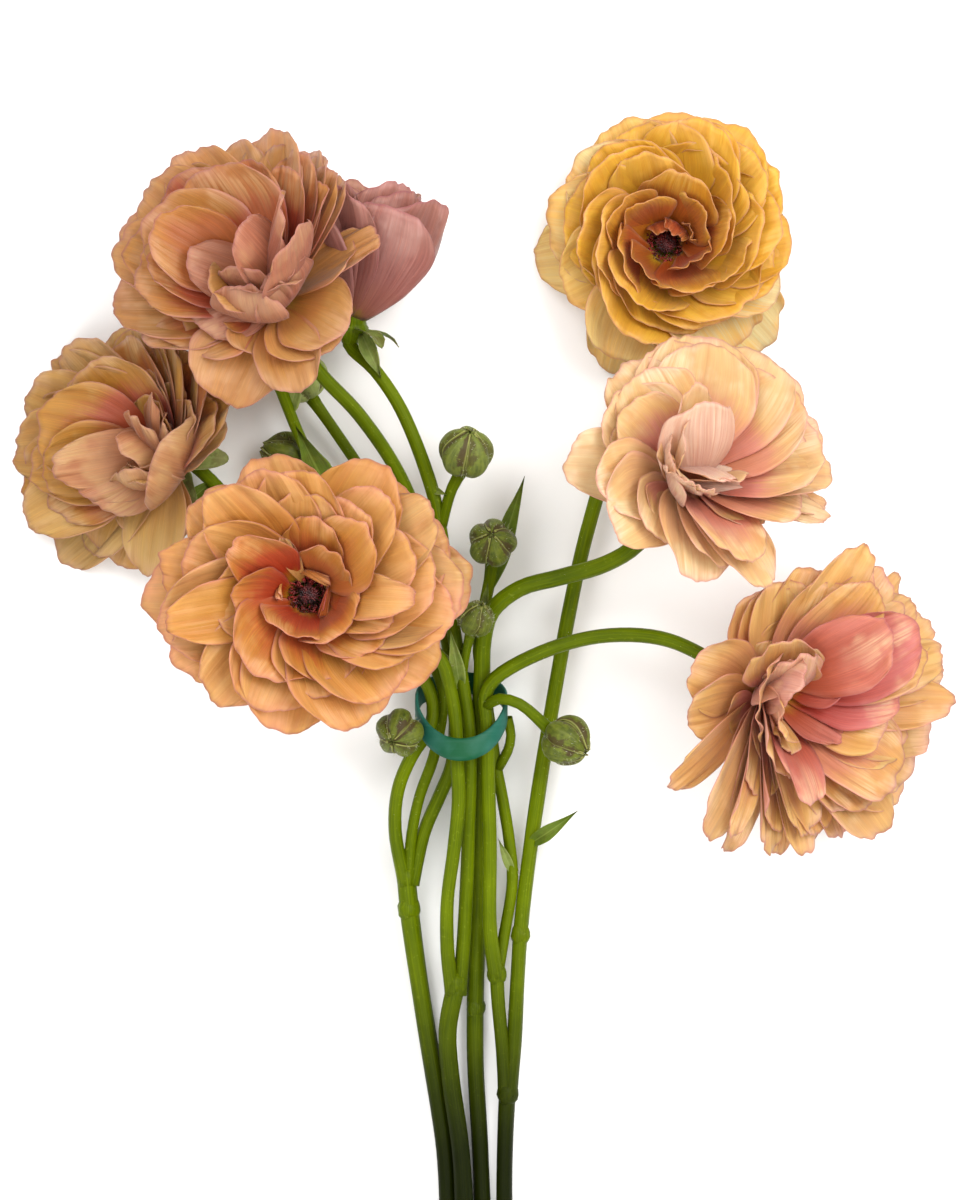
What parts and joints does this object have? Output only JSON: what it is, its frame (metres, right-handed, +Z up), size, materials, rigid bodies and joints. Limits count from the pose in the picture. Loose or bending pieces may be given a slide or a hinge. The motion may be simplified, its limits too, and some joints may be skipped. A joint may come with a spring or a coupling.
{
  "type": "ranunculus bunch",
  "caption": "Bunch of double ranunculus flowers with buds and leaves on forked stems held by a tie, lying on its back.",
  "frame": {"origin": "middle of the bunch's outline on the surface that it lies on", "axes": "+Z up from that surface, +Y from the cut ends towards the blooms, +X to the right seen from above"},
  "size_m": [0.2734, 0.344, 0.0871],
  "materials": {
    "stem": "satin green skin",
    "petals_A": "satin, thin and slightly see-through",
    "petals_B": "satin, thin and slightly see-through",
    "petals_C": "satin, thin and slightly see-through",
    "petals_D": "satin, thin and slightly see-through",
    "petals_E": "satin, thin and slightly see-through",
    "petals_F": "satin, thin and slightly see-through",
    "petals_G": "satin, thin and slightly see-through",
    "eye": "matt, grainy",
    "bud": "matt, hairy",
    "leaf": "satin",
    "tie": "satin"
  },
  "bodies": {
    "root": {"stem_left_forked": "stem", "stem_middle_forked": "stem", "stem_single": "stem", "stem_right_forked": "stem", "bloom_A_petals": "petals_A", "bloom_A_eye": "eye", "bloom_B_petals": "petals_B", "bloom_B_eye": "eye", "bloom_C_petals": "petals_C", "bloom_C_eye": "eye", "bloom_D_petals": "petals_D", "bloom_D_eye": "eye", "bloom_E_petals": "petals_E", "bloom_E_eye": "eye", "bloom_F_petals": "petals_F", "bloom_F_eye": "eye", "bloom_G_petals": "petals_G", "bloom_G_eye": "eye", "bud_top": "bud", "bud_middle": "bud", "bud_hidden": "bud", "bud_below": "bud", "bud_right": "bud", "bud_pale": "bud", "bud_back": "bud", "bud_under_bloom": "bud", "leaf_low": "leaf", "leaf_upright": "leaf", "leaf_dark": "leaf", "leaf_outer": "leaf", "tie": "tie"}
  },
  "joints": []
}
